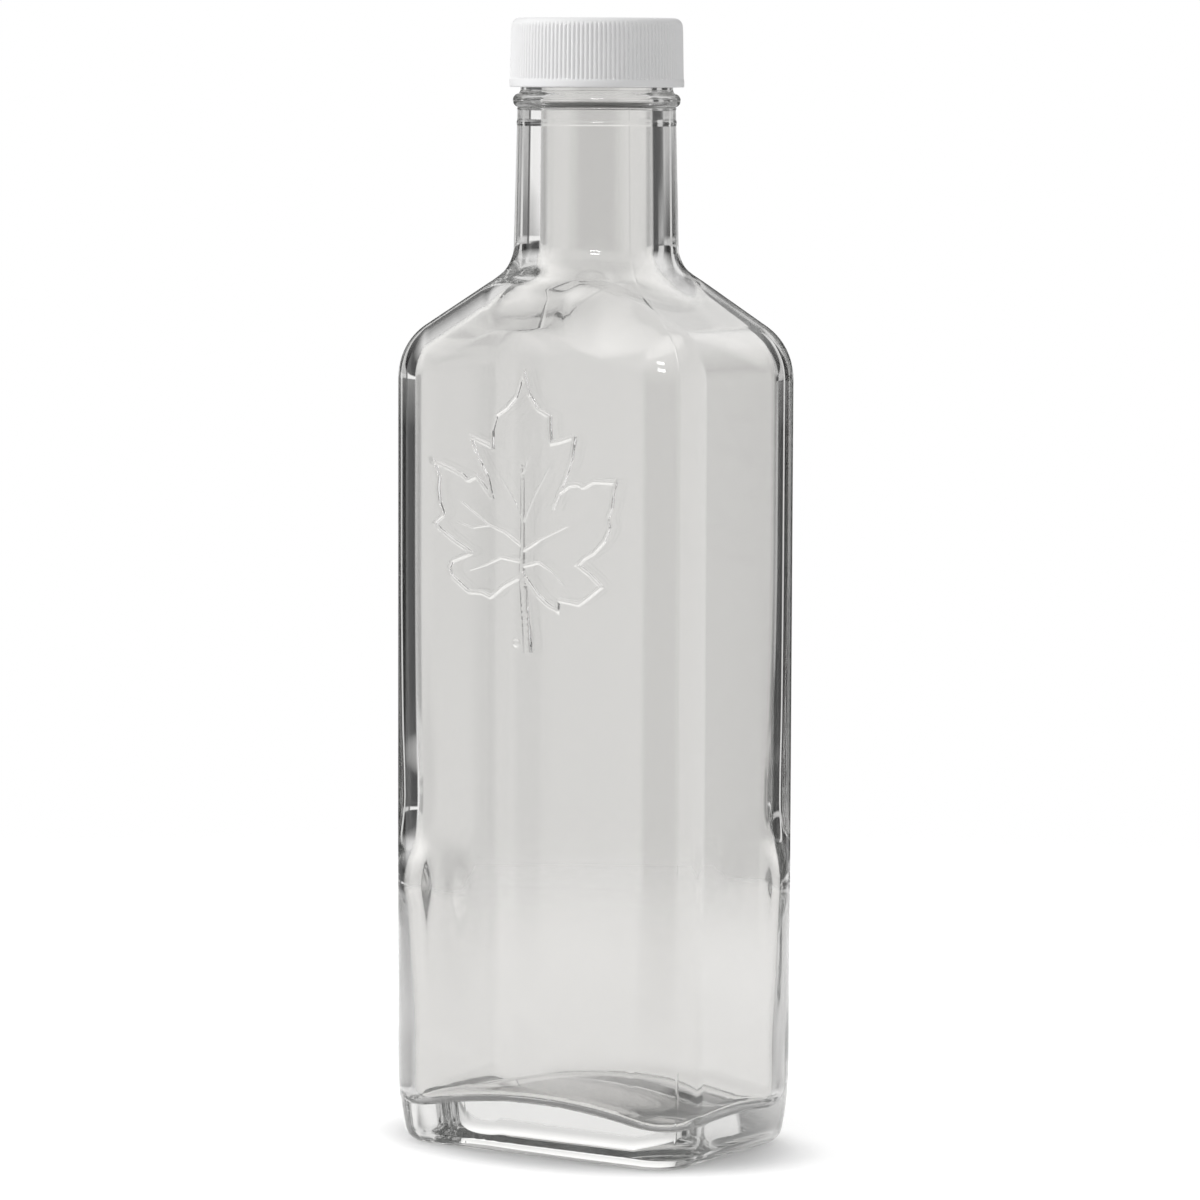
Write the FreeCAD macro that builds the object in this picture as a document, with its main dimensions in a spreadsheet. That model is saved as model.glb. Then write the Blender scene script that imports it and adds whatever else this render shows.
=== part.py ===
"""Clear glass syrup flask with a raised maple leaf, and its ribbed white screw cap.

The flask stands on its foot at the origin, +Z up.  The broad face with the leaf looks along -Y,
the narrow faces look along +X and -X.  All lengths are in millimetres.
"""
import FreeCAD, Part
import math
import os
import Sketcher

V = FreeCAD.Vector
# two places nearer than this count as one
HAIR = 0.01

SIZES = {
    # the flask outside: a slab with a gabled top and rounded edges
    "body_width": 61.0,
    "body_depth": 43.8,
    "edge_radius": 9.0,
    "shoulder_height": 139.4,
    "shoulder_rise": 12.1,
    "shoulder_slope": 30.0,
    "shoulder_radius": 11.0,
    # its foot
    "heel_rise": 14.0,
    "heel_curve": 60.0,
    "foot_radius": 2.5,
    "kick_rise": 0.9,
    "kick_dome_radius": 150.0,
    # the neck, from its root up to the rim that the cap shuts
    "neck_length": 28.0,
    "neck_bite": 1.2,
    "root_radius": 5.0,
    "finish_radius": 13.1,
    "neck_step": 0.5,
    "neck_flare": 0.8,
    "ring_proud": 1.3,
    "ring_thickness": 2.5,
    "rim_radius": 0.8,
    # the glass itself
    "wall": 2.5,
    "neck_wall": 4.6,
    "finish_wall": 3.6,
    "floor_crown": 10.5,
    "floor_dome_radius": 110.0,
    "floor_corner_radius": 3.5,
    # the leaf on the broad face
    "leaf_height": 34.4,
    "leaf_drop": 39.0,
    "leaf_margin": 3.2,
    "leaf_shift": -0.6,
    "leaf_relief": 0.5,
    "leaf_line": 0.9,
    # the cap
    "cap_height": 11.8,
    "cap_skirt": 1.5,
    "cap_top": 1.5,
    "cap_clearance": 0.4,
    "cap_lift": 1.0,
    "cap_edge_radius": 1.5,
    "cap_band": 1.2,
    "rib_margin": 0.9,
    "rib_count": 120,
    "rib_depth": 0.28,
    "rib_crest": 0.16,
}

ROOF = "(shoulder_height + shoulder_rise)"
RING = f"({ROOF} + neck_length)"
SKIRT = f"({RING} + ring_thickness + cap_lift)"
RIM = f"({SKIRT} + cap_height - cap_top)"
CAP_RADIUS = "(finish_radius + cap_clearance + cap_skirt)"
NECK_RADIUS = "(finish_radius + neck_step + neck_flare)"
# the neck starts a bite below the gable, at the place where its wall meets the slope
NECK_FOOT = (f"(shoulder_height - neck_bite"
             f" + (body_width / 2 - {NECK_RADIUS}) * tan(shoulder_slope))")
LEAF_REACH = "(body_width / 2 - edge_radius - leaf_margin)"

# Right half of the leaf, from its tip down to its stem: shares of its reach and of its height.
LEAF_HALF = [
    (0.00, 1.00), (0.13, 0.85), (0.28, 0.79), (0.31, 0.65), (0.58, 0.69), (0.46, 0.50), (0.33, 0.34),
    (0.50, 0.47), (0.62, 0.455), (0.70, 0.485), (1.00, 0.51), (0.93, 0.35), (0.93, 0.23), (0.80, 0.15),
    (0.58, 0.08), (0.83, -0.02), (0.62, -0.10), (0.40, -0.12), (0.36, -0.155), (0.18, -0.10),
    (0.05, -0.015)]
# Right half of the veins and the stem: each arm's end, then the notch before the next arm.
VEIN_HALF = [(0.00, 0.90), (0.035, 0.17), (0.80, 0.43), (0.06, 0.12), (0.62, 0.02), (0.04, 0.03),
             (0.045, -0.35)]

doc = FreeCAD.newDocument("syrup_flask")
sheet = doc.addObject("Spreadsheet::Sheet", "Sizes")
for row, (alias, value) in enumerate(SIZES.items(), start=1):
    sheet.set(f"A{row}", alias)
    sheet.set(f"B{row}", str(value))
    sheet.setAlias(f"B{row}", alias)
doc.recompute()


def named(formula):
    """Turn the sheet's aliases in a formula into references that FreeCAD follows."""
    text = ""
    word = ""
    for letter in formula + " ":
        if letter.isalnum() or letter == "_":
            word += letter
            continue
        text += f"Sizes.{word}" if word in SIZES else word
        text += letter
        word = ""
    return text.strip()


def size(formula):
    """The present value of a formula over the sheet's aliases."""
    return float(sheet.evalExpression(named(formula)))


def mirrored(half):
    """A right half and its mirror image as one closed outline; the first point is on the axis."""
    return half + [(-across, up) for across, up in reversed(half[1:])]


# ---- sketches ----

def origin_plane(body, role):
    return next(item for item in body.Origin.OriginFeatures if item.Role == role)


def new_sketch(body, name, role, lift="0"):
    """A sketch on one of the body's own origin planes, moved along the plane's normal by lift."""
    sketch = body.newObject("Sketcher::SketchObject", name)
    sketch.AttachmentSupport = (origin_plane(body, role), [""])
    sketch.MapMode = "FlatFace"
    sketch.setExpression("AttachmentOffset.Base.z", named(lift))
    return sketch


def bind(sketch, constraint, formula):
    """Add a constraint whose value follows a formula over the sheet."""
    index = sketch.addConstraint(constraint)
    sketch.setExpression(f"Constraints[{index}]", named(formula))


def pin_point(sketch, line, end, corner):
    """Hold one end of a sketch line at a corner given by two formulas."""
    for kind, formula in zip(("DistanceX", "DistanceY"), corner):
        bind(sketch, Sketcher.Constraint(kind, -1, 1, line, end, size(formula)), formula)


def polygon(sketch, corners):
    """A closed outline of straight lines through corners, each pinned by its own formulas."""
    spots = [V(size(across), size(up), 0) for across, up in corners]
    count = len(corners)
    for k in range(count):
        sketch.addGeometry(Part.LineSegment(spots[k], spots[(k + 1) % count]), False)
    for k in range(count):
        sketch.addConstraint(Sketcher.Constraint("Coincident", k, 2, (k + 1) % count, 1))
        pin_point(sketch, k, 1, corners[k])
    return sketch


def rounded_rectangle(sketch, half_width, half_depth, radius):
    """Four sides and four quarter arcs in turn, starting with the +X side."""
    across, deep, bend = size(half_width), size(half_depth), size(radius)
    inner_x, inner_y = across - bend, deep - bend
    sides = [((across, -inner_y), (across, inner_y)), ((inner_x, deep), (-inner_x, deep)),
             ((-across, inner_y), (-across, -inner_y)), ((-inner_x, -deep), (inner_x, -deep))]
    centres = [(inner_x, inner_y), (-inner_x, inner_y), (-inner_x, -inner_y), (inner_x, -inner_y)]
    for k in range(4):
        start, end = sides[k]
        sketch.addGeometry(Part.LineSegment(V(*start, 0), V(*end, 0)), False)
        turn = math.radians(90 * k)
        corner = Part.Circle(V(*centres[k], 0), V(0, 0, 1), bend)
        sketch.addGeometry(Part.ArcOfCircle(corner, turn, turn + math.pi / 2), False)
    for k in range(8):
        sketch.addConstraint(Sketcher.Constraint("Tangent", k, 2, (k + 1) % 8, 1))
    for side, direction in ((0, "Vertical"), (2, "Horizontal"), (4, "Vertical"), (6, "Horizontal")):
        sketch.addConstraint(Sketcher.Constraint(direction, side))
    for arc in (3, 5):
        sketch.addConstraint(Sketcher.Constraint("Equal", 1, arc))
    places = [("DistanceX", 0, half_width), ("DistanceY", 2, half_depth),
              ("DistanceX", 4, f"-({half_width})"), ("DistanceY", 6, f"-({half_depth})")]
    for kind, side, formula in places:
        bind(sketch, Sketcher.Constraint(kind, -1, 1, side, 1, size(formula)), formula)
    bind(sketch, Sketcher.Constraint("Radius", 1, bend), radius)
    return sketch


# ---- features ----

def new_body(label):
    body = doc.addObject("PartDesign::Body", label)
    body.Label = label
    return body


def feature(body, kind, name, **values):
    item = body.newObject(f"PartDesign::{kind}", name)
    for key, value in values.items():
        setattr(item, key, value)
    return item


def primitive(body, kind, name, height, **radii):
    """A ring or ball of the body, centred on its Z axis at the height given by a formula."""
    item = feature(body, kind, name, AttachmentSupport=(origin_plane(body, "XY_Plane"), [""]),
                   MapMode="FlatFace")
    item.setExpression("AttachmentOffset.Base.z", named(height))
    for key, formula in radii.items():
        item.setExpression(key, named(formula))
    doc.recompute()
    return item


def revolve(body, name, corners):
    """Turn a closed outline in the XZ plane a full turn about Z."""
    sketch = polygon(new_sketch(body, f"{name}_profile", "XZ_Plane"), corners)
    item = feature(body, "Revolution", name, Profile=sketch, Angle=360.0)
    item.ReferenceAxis = (sketch, ["V_Axis"])
    doc.recompute()
    return item


def spots_on(edge):
    """Both ends of an edge and three places between them."""
    reach = edge.LastParameter - edge.FirstParameter
    return [edge.valueAt(edge.FirstParameter + reach * k / 4) for k in range(5)]


def round_edges(body, name, radius, chosen):
    """Fillet those edges of the body's tip whose spots pass a test."""
    base = body.Tip
    names = [f"Edge{k}" for k, edge in enumerate(base.Shape.Edges, start=1) if chosen(spots_on(edge))]
    item = feature(body, "Fillet", name, Base=(base, names))
    item.setExpression("Radius", named(radius))
    doc.recompute()
    return item


# ---- the flask ----

def flask_form(label, half_width, half_depth, foot, shoulder, roof, edge, corner, neck, root):
    """A gabled slab with rounded edges, and a turned neck blended into its top."""
    body = new_body(label)
    ridge = f"({half_width} - ({roof} - {shoulder}) / tan(shoulder_slope))"
    outline = polygon(new_sketch(body, f"{label}_outline", "XZ_Plane"), [
        (f"-{half_width}", foot), (half_width, foot), (half_width, shoulder),
        (ridge, roof), (f"-{ridge}", roof), (f"-{half_width}", shoulder)])
    slab = feature(body, "Pad", f"{label}_slab", Profile=outline, SideType="Symmetric")
    slab.setExpression("Length", named(f"2 * {half_depth}"))
    doc.recompute()

    above_foot = size(foot) + HAIR
    deep = size(half_depth)
    round_edges(body, f"{label}_shoulders", corner,
                lambda spots: spots[2].z > above_foot and abs(spots[2].y) < HAIR)
    round_edges(body, f"{label}_edges", edge,
                lambda spots: spots[2].z > above_foot and abs(abs(spots[2].y) - deep) < HAIR)
    revolve(body, f"{label}_neck", neck)
    low, high, seam = size(shoulder), size(roof) + HAIR, size(neck[1][0])
    play = size("neck_flare") / 2
    round_edges(body, f"{label}_root", root,
                lambda spots: all(low < spot.z < high and abs(math.hypot(spot.x, spot.y) - seam) < play
                                  for spot in spots))
    return body


def heel(body):
    """Draw the lower walls in along a long arc that is swept once round the foot, and round its edge."""
    path = rounded_rectangle(new_sketch(body, "heel_path", "XY_Plane"),
                             "body_width / 2", "body_depth / 2", "edge_radius")
    profile = new_sketch(body, "heel_profile", "XZ_Plane")
    drawn_in = "(heel_curve - sqrt(heel_curve ^ 2 - heel_rise ^ 2))"
    outside = "body_width / 2 + 1"
    corners = [("body_width / 2", "heel_rise"), (outside, "heel_rise"), (outside, "-1"),
               (f"body_width / 2 - {drawn_in}", "-1"), (f"body_width / 2 - {drawn_in}", "0")]
    spots = [V(size(across), size(up), 0) for across, up in corners]
    centre = V(size("body_width / 2 - heel_curve"), size("heel_rise"), 0)
    lean = math.asin(size("heel_rise / heel_curve"))
    wall_line = Part.Circle(centre, V(0, 0, 1), size("heel_curve"))
    profile.addGeometry(Part.ArcOfCircle(wall_line, -lean, 0), False)
    for start, end in zip(spots, spots[1:]):
        profile.addGeometry(Part.LineSegment(start, end), False)
    last = len(spots) - 1
    for line in range(last):
        profile.addConstraint(Sketcher.Constraint("Coincident", line, 2, line + 1, 1))
        pin_point(profile, line + 1, 1, corners[line])
    profile.addConstraint(Sketcher.Constraint("Coincident", 0, 1, last, 2))
    pin_point(profile, last, 2, corners[last])
    bind(profile, Sketcher.Constraint("Radius", 0, size("heel_curve")), "heel_curve")
    feature(body, "SubtractivePipe", "heel", Profile=profile, Spine=(path, []))
    doc.recompute()
    round_edges(body, "foot_edge", "foot_radius", lambda spots: abs(spots[2].z) < HAIR)


def build_outside():
    body = flask_form(
        "flask", "(body_width / 2)", "(body_depth / 2)", "0", "shoulder_height", ROOF,
        "edge_radius", "shoulder_radius",
        [("0", NECK_FOOT), (NECK_RADIUS, NECK_FOOT),
         ("finish_radius + neck_step", RING), ("finish_radius", RING), ("finish_radius", RIM), ("0", RIM)],
        "root_radius")
    primitive(body, "AdditiveTorus", "neck_ring", f"{RING} + ring_thickness / 2",
              Radius1="finish_radius + ring_proud - ring_thickness / 2", Radius2="ring_thickness / 2")
    heel(body)
    primitive(body, "SubtractiveSphere", "kick", "kick_rise - kick_dome_radius", Radius="kick_dome_radius")
    return body


def build_inside():
    """The space inside the glass: the same form one wall smaller, over a domed floor."""
    half_width, half_depth = "(body_width / 2 - wall)", "(body_depth / 2 - wall)"
    floor_drop = (f"(floor_dome_radius - sqrt(floor_dome_radius ^ 2 - {half_width} ^ 2"
                  f" - {half_depth} ^ 2))")
    root = f"{NECK_FOOT} - wall"
    body = flask_form(
        "space", half_width, half_depth, f"(floor_crown - {floor_drop} - 1)",
        "(shoulder_height - wall * tan(45 - shoulder_slope / 2))", f"({ROOF} - wall)",
        "edge_radius - wall", "shoulder_radius - wall",
        [("0", root), (f"{NECK_RADIUS} - neck_wall", root),
         ("finish_radius - finish_wall", f"{RIM} + 1"), ("0", f"{RIM} + 1")],
        "root_radius + wall")
    primitive(body, "SubtractiveSphere", "floor_dome", "floor_crown - floor_dome_radius",
              Radius="floor_dome_radius")
    ball = V(0, 0, size("floor_crown - floor_dome_radius"))
    reach = size("floor_dome_radius")
    round_edges(body, "floor_corner", "floor_corner_radius",
                lambda spots: all(abs(spot.distanceToPoint(ball) - reach) < HAIR for spot in spots))
    return body


def build_glass():
    body = build_outside()
    space = build_inside()
    hollow = feature(body, "Boolean", "hollow", Type="Cut")
    hollow.setObjects([space])
    body.Tip = hollow
    doc.recompute()
    rim = size(RIM)
    round_edges(body, "rim_edges", "rim_radius", lambda spots: abs(spots[2].z - rim) < HAIR)
    return body


# ---- the leaf ----

def leaf_sketch(name, half):
    """A closed outline on the broad face, from a right half in shares of the leaf's size."""
    sketch = doc.addObject("Sketcher::SketchObject", name)
    sketch.Placement = FreeCAD.Placement(V(0, 0, 0), FreeCAD.Rotation(V(1, 0, 0), 90))
    sketch.setExpression("Placement.Base.y", named("-body_depth / 2"))
    return polygon(sketch, [
        (f"leaf_shift + {across} * {LEAF_REACH}", f"shoulder_height - leaf_drop + {up} * leaf_height")
        for across, up in mirrored(half)])


def raised(name, source):
    """Stand a flat outline out from the broad face by the leaf's relief."""
    plate = doc.addObject("Part::Extrusion", name)
    plate.Base = source
    plate.DirMode = "Custom"
    plate.Dir = V(0, -1, 0)
    plate.Solid = True
    plate.setExpression("LengthFwd", named("leaf_relief"))
    return plate


def build_leaf():
    """A narrow band along the leaf's outline, and the veins with the stem."""
    band = doc.addObject("Part::Offset2D", "leaf_band")
    band.Source = leaf_sketch("leaf_outline", LEAF_HALF)
    band.Fill = True
    band.setExpression("Value", named("-leaf_line"))
    return [raised("leaf_rim", band), raised("leaf_ribs", leaf_sketch("leaf_veins", VEIN_HALF))]


# ---- the cap ----

def build_cap():
    """A ribbed cup whose top rests on the bottle's rim."""
    body = new_body("screw_cap")
    bore = "finish_radius + cap_clearance"
    top = f"{RIM} + cap_top"
    revolve(body, "cup", [
        ("0", RIM), (bore, RIM), (bore, SKIRT), (CAP_RADIUS, SKIRT), (CAP_RADIUS, top), ("0", top)])
    crown = size(top)
    round_edges(body, "cap_edge", "cap_edge_radius", lambda spots: abs(spots[2].z - crown) < HAIR)
    half_notch = f"({CAP_RADIUS} * sin(180 / rib_count) - rib_crest / 2)"
    notch = polygon(new_sketch(body, "notch", "XY_Plane", f"{SKIRT} + cap_band"), [
        (f"{CAP_RADIUS} - rib_depth", "0"),
        (f"{CAP_RADIUS} + rib_depth", f"-2 * {half_notch}"),
        (f"{CAP_RADIUS} + rib_depth", f"2 * {half_notch}")])
    groove = feature(body, "Pocket", "groove", Profile=notch, Reversed=True)
    groove.setExpression("Length", named("cap_height - cap_band - rib_margin"))
    doc.recompute()
    ribs = feature(body, "PolarPattern", "ribs", Originals=[groove], Angle=360.0)
    ribs.Axis = (notch, ["N_Axis"])
    ribs.setExpression("Occurrences", named("rib_count"))
    body.Tip = ribs
    doc.recompute()
    return body


bottle = doc.addObject("Part::MultiFuse", "glass_bottle")
bottle.Shapes = [build_glass()] + build_leaf()
bottle.Label = "glass_bottle"
cap = build_cap()
doc.recompute()

failed = [item.Name for item in doc.Objects if {"Invalid", "Error"} & set(item.State)]
nodes = (bottle, cap)
failed += [node.Label for node in nodes if node.Shape.isNull() or not node.Shape.isValid()]
if failed:
    raise RuntimeError(f"these objects did not build: {failed}")
os.makedirs("parts", exist_ok=True)
for node in nodes:
    node.Shape.exportStep(f"parts/{node.Label}.step")
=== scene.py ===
"""Looks of the syrup flask: clear glass with a raised maple leaf, and its ribbed white screw cap.

Lengths are in millimetres for the glass and the cap until a mesh is made, and in metres for the studio.
+Z is up, the broad face with the leaf looks along -Y and a narrow face looks along +X.
"""
import math
import bpy
import numpy as np
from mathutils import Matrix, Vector
from mathutils.geometry import delaunay_2d_cdt


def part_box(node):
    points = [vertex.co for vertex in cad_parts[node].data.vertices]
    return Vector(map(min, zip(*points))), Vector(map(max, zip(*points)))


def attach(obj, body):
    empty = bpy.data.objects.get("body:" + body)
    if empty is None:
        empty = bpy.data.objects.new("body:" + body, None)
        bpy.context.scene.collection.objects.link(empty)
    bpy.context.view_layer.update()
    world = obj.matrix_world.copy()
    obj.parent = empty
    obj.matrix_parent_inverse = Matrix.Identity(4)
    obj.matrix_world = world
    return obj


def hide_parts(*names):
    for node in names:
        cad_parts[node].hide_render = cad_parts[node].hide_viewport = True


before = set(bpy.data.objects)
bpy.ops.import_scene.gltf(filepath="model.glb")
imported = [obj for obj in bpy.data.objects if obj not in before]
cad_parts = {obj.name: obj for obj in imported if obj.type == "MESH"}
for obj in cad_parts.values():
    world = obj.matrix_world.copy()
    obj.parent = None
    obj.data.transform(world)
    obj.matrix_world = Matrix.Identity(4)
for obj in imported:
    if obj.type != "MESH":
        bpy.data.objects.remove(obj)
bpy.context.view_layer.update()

MM = 0.001


def node_box(node):
    """The lowest and the highest corner of a node."""
    low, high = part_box(node)
    return np.array(low) / MM, np.array(high) / MM


GLASS_LOW, GLASS_HIGH = node_box("glass_bottle")
CAP_LOW, CAP_HIGH = node_box("screw_cap")

# ---- sizes of the glass ----

HALF_WIDTH, HALF_DEPTH, RIM = GLASS_HIGH
SLOPE = math.radians(30)
SHOULDER = RIM - 53.9
ROOF = SHOULDER + 12.1
CORNER_RADIUS = 11.0
EDGE_RADIUS = 9.0
ROOT_RADIUS = 5.0
HEEL_RISE, HEEL_CURVE, FOOT_RADIUS = 14.0, 60.0, 2.5
KICK_RISE, KICK_DOME = 0.9, 150.0
NECK_FOOT, NECK_FOOT_RADIUS = ROOF - 4.0, 14.4
NECK_TOP, NECK_TOP_RADIUS = RIM - 13.8, 13.6
FINISH_RADIUS, RIM_RADIUS = 13.1, 0.8
BEAD_HEIGHT, BEAD_RADIUS, BEAD_REACH, BEAD_BLEND = NECK_TOP + 1.25, 1.25, 14.4, 0.5

WALL = 2.5
FLOOR_CROWN, FLOOR_DOME, FLOOR_CORNER = 10.5, 110.0, 3.5
BORE_FOOT_RADIUS, BORE_RADIUS = 9.8, 9.5
# how much rounder the inside is than the wall alone makes it: in the upright edges at the right and the
# left as they are seen, in the nearest and the farthest one, and in these last two at the shoulders
RIGHT_EDGE_GLASS, LEFT_EDGE_GLASS, NEAR_EDGE_GLASS, SHOULDER_GLASS = 2.5, 0.5, 0.75, 2.4
# how sharply this changes from one edge to the next
EDGE_SHARPNESS = 2.5
# the share of SHOULDER_GLASS at some heights
SHOULDER_SHARE = ([130.0, 143.0, 151.0, 160.0], [0.0, 1.0, 0.7, 0.7])
# the wave that the glass keeps from its blowing: how much thicker the wall is at some heights, and thinner
# where this is less than nought
WAVE = ([17.0, 30.0, 40.0, 45.0, 49.5, 54.0, 58.0, 63.0, 72.0, 86.0, 104.0],
        [0.0, -0.65, -1.4, -1.9, -1.3, 0.0, 0.6, 0.65, 0.35, 0.12, 0.0])
# where the wave begins beside an edge, in half widths and half depths together, how soon it is whole, and
# how sharply it ends towards the nearest and the farthest edge, which have none
WAVE_FROM, WAVE_SPREAD, WAVE_SHARPNESS = 1.25, 0.3, 6.0

# ---- relief on the outside ----

NECK_LINE, NECK_LINE_RELIEF, NECK_LINE_SPREAD = NECK_TOP - 2.6, 0.09, 0.5
# the parting plane of the moulds stands on edge through the axis, this far round from -Y to +X
SEAM_TURN = math.radians(57.2)
# its line begins at SEAM_LOW and is whole from twice as high
SEAM_RELIEF, SEAM_SPREAD, SEAM_LOW = 0.035, 0.22, 3.0

# the leaf: places across and up from its own base, from its tip down the right half and up the left half
LEAF_MIDDLE, LEAF_BASE = -0.7, SHOULDER - 38.9
LEAF_OUTLINE = [
    (0.3, 34.6), (1.3, 31.0), (3.2, 28.3), (5.6, 27.2), (5.6, 25.0), (5.9, 22.7), (8.2, 23.2),
    (10.6, 24.0), (10.0, 20.4), (8.6, 16.6), (6.3, 12.0), (7.6, 14.4), (9.7, 15.8), (11.5, 16.0),
    (12.4, 15.5), (14.4, 16.6), (18.8, 16.6), (18.2, 14.3), (17.9, 12.1), (17.1, 10.4), (17.6, 8.8),
    (16.5, 6.6), (14.5, 4.6), (12.6, 3.6), (11.3, 2.3), (13.6, 0.9), (16.0, -1.1), (13.6, -2.9),
    (11.6, -4.3), (9.4, -4.0), (7.4, -3.8), (7.2, -5.6), (5.2, -4.7), (3.3, -3.3), (0.9, -0.5),
    (-0.9, -0.5), (-3.6, -1.9), (-6.3, -4.0), (-8.2, -3.3), (-10.8, -3.3), (-12.4, -2.2), (-14.3, -0.8),
    (-14.9, 0.6), (-14.2, 1.9), (-10.3, 3.4), (-13.2, 4.9), (-16.5, 6.9), (-17.8, 8.2), (-16.0, 9.7),
    (-16.9, 11.8), (-17.2, 14.2), (-17.0, 16.2), (-18.1, 18.7), (-15.0, 17.7), (-12.0, 16.5),
    (-11.0, 15.7), (-9.3, 16.6), (-7.8, 14.9), (-6.0, 12.8), (-6.9, 16.2), (-9.3, 20.2), (-10.7, 23.3),
    (-8.4, 22.5), (-6.0, 21.6), (-6.0, 24.4), (-5.2, 27.1), (-3.0, 28.5), (-1.2, 30.4)]
# each vein: its points, then its width where it starts and where it ends
LEAF_VEINS = [
    ([(0.0, 0.0), (0.2, 8.0), (0.1, 16.0), (-0.4, 22.5), (0.1, 28.0)], 1.3, 0.4),
    ([(0.3, 9.0), (2.6, 13.8), (5.6, 18.8)], 0.7, 0.4),
    ([(0.1, 9.6), (-1.9, 13.4), (-4.6, 16.8)], 0.6, 0.3),
    ([(0.2, 17.4), (1.5, 20.4), (2.6, 24.4)], 0.5, 0.3),
    ([(0.3, 4.2), (3.8, 6.3), (9.2, 8.8)], 0.8, 0.4),
    ([(-0.2, 5.2), (-3.4, 7.2), (-6.6, 8.3), (-12.6, 12.2)], 0.8, 0.4),
    ([(-6.6, 8.3), (-10.0, 7.7), (-13.6, 8.6)], 0.5, 0.3),
    ([(0.3, 1.6), (3.4, 2.4), (6.4, 0.8), (8.3, -1.2)], 0.8, 0.4),
    ([(-0.3, 2.4), (-4.2, 2.9), (-7.4, 1.4), (-10.8, 0.4)], 0.8, 0.4)]
STEM = ([(0.1, 0.2), (0.7, -6.0), (1.3, -13.2)], 1.5, 2.1)
STEM_DROP, DROP_RADIUS, DROP_FLANK, DROP_HEIGHT = (-1.1, -11.6), 1.0, 0.9, 0.8
LEAF_RELIEF = -GLASS_LOW[1] - GLASS_HIGH[1]
LINE_WIDTH, VEIN_HEIGHT, FLANK = 1.0, 0.7, 0.34
# the part of the broad face that has a mesh of its own for the leaf
PATCH_REACH, PATCH_LOW, PATCH_HIGH = 20.0, LEAF_BASE - 15.2, LEAF_BASE + 35.4
PATCH_GRID, PATCH_GAP = 1.1, 0.09

# ---- the rows and columns of the mesh of the glass ----

# heights on the axis from which rays fan out: down over the foot, down over the inner floor, and up over
# the shoulders as far as FAN_RISE degrees
FOOT_FAN, BASIN_FAN, SHOULDER_FAN, FAN_RISE = 12.0, 30.0, PATCH_HIGH, 58.0
CORNER_COLUMNS, WIDEST_COLUMN, CLOSEST_COLUMN = 14, math.radians(3.0), math.radians(0.12)


# ---- forms: each gives the distance to a surface, less than nought inside it ----

def meet(first, second, radius):
    """The space inside both forms, with the edge between them rounded."""
    across, along = first + radius, second + radius
    return (np.hypot(np.maximum(across, 0), np.maximum(along, 0))
            + np.minimum(np.maximum(across, along), 0) - radius)


def join(first, second, radius):
    """The space inside either form, with the hollow between them filled by a round blend."""
    across, along = np.maximum(radius - first, 0), np.maximum(radius - second, 0)
    return np.maximum(radius, np.minimum(first, second)) - np.hypot(across, along)


def dome(across, z, crown, radius):
    """The space outside a ball whose top is at crown."""
    return radius - np.sqrt(across ** 2 + (z - crown + radius) ** 2)


def smooth(share):
    """From 0 to 1, level at both ends."""
    share = np.clip(share, 0, 1)
    return share * share * (3 - 2 * share)


def flowing(z, heights, values):
    """A smooth curve through values, without a level place at each of them."""
    heights, values = np.array(heights), np.array(values)
    slopes = np.gradient(values, heights)
    slopes[0] = slopes[-1] = 0
    index = np.clip(np.searchsorted(heights, z) - 1, 0, len(heights) - 2)
    span = heights[index + 1] - heights[index]
    t = np.clip((z - heights[index]) / span, 0, 1)
    return (values[index] * (1 + 2 * t) * (1 - t) ** 2 + slopes[index] * span * t * (1 - t) ** 2
            + values[index + 1] * t * t * (3 - 2 * t) - slopes[index + 1] * span * t * t * (1 - t))


def gabled(x, z, half_width, shoulder, roof, inset):
    """Distance to the sharp front outline drawn in by inset: wall, slope and roof."""
    slope = (math.sin(SLOPE), math.cos(SLOPE))
    faces = [((1.0, 0.0), half_width), (slope, half_width * slope[0] + shoulder * slope[1]),
             ((0.0, 1.0), roof)]
    away = [side[0] * np.abs(x) + side[1] * z - reach + inset for side, reach in faces]
    distance = np.maximum(np.maximum(away[0], away[1]), away[2])
    for k in (0, 1):
        turn = faces[k][0][0] * faces[k + 1][0][0] + faces[k][0][1] * faces[k + 1][0][1]
        one, two = away[k], away[k + 1]
        corner = np.sqrt(np.maximum(one ** 2 + two ** 2 - 2 * turn * one * two, 0) / (1 - turn ** 2))
        distance = np.where((one > turn * two) & (two > turn * one), corner, distance)
    return distance


def flask(p, shrink, fuller=0.0):
    """The gabled slab, every wall drawn in by shrink and its upright edges rounder by fuller."""
    x, y, z = p[..., 0], p[..., 1], p[..., 2]
    edge, corner = EDGE_RADIUS - shrink, CORNER_RADIUS - shrink
    shoulder = SHOULDER - shrink * math.tan(math.pi / 4 - SLOPE / 2)
    face = gabled(x, z, HALF_WIDTH - shrink, shoulder, ROOF - shrink, corner) - (corner - edge)
    return meet(face - edge, np.abs(y) - (HALF_DEPTH - shrink), edge + fuller)


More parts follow.
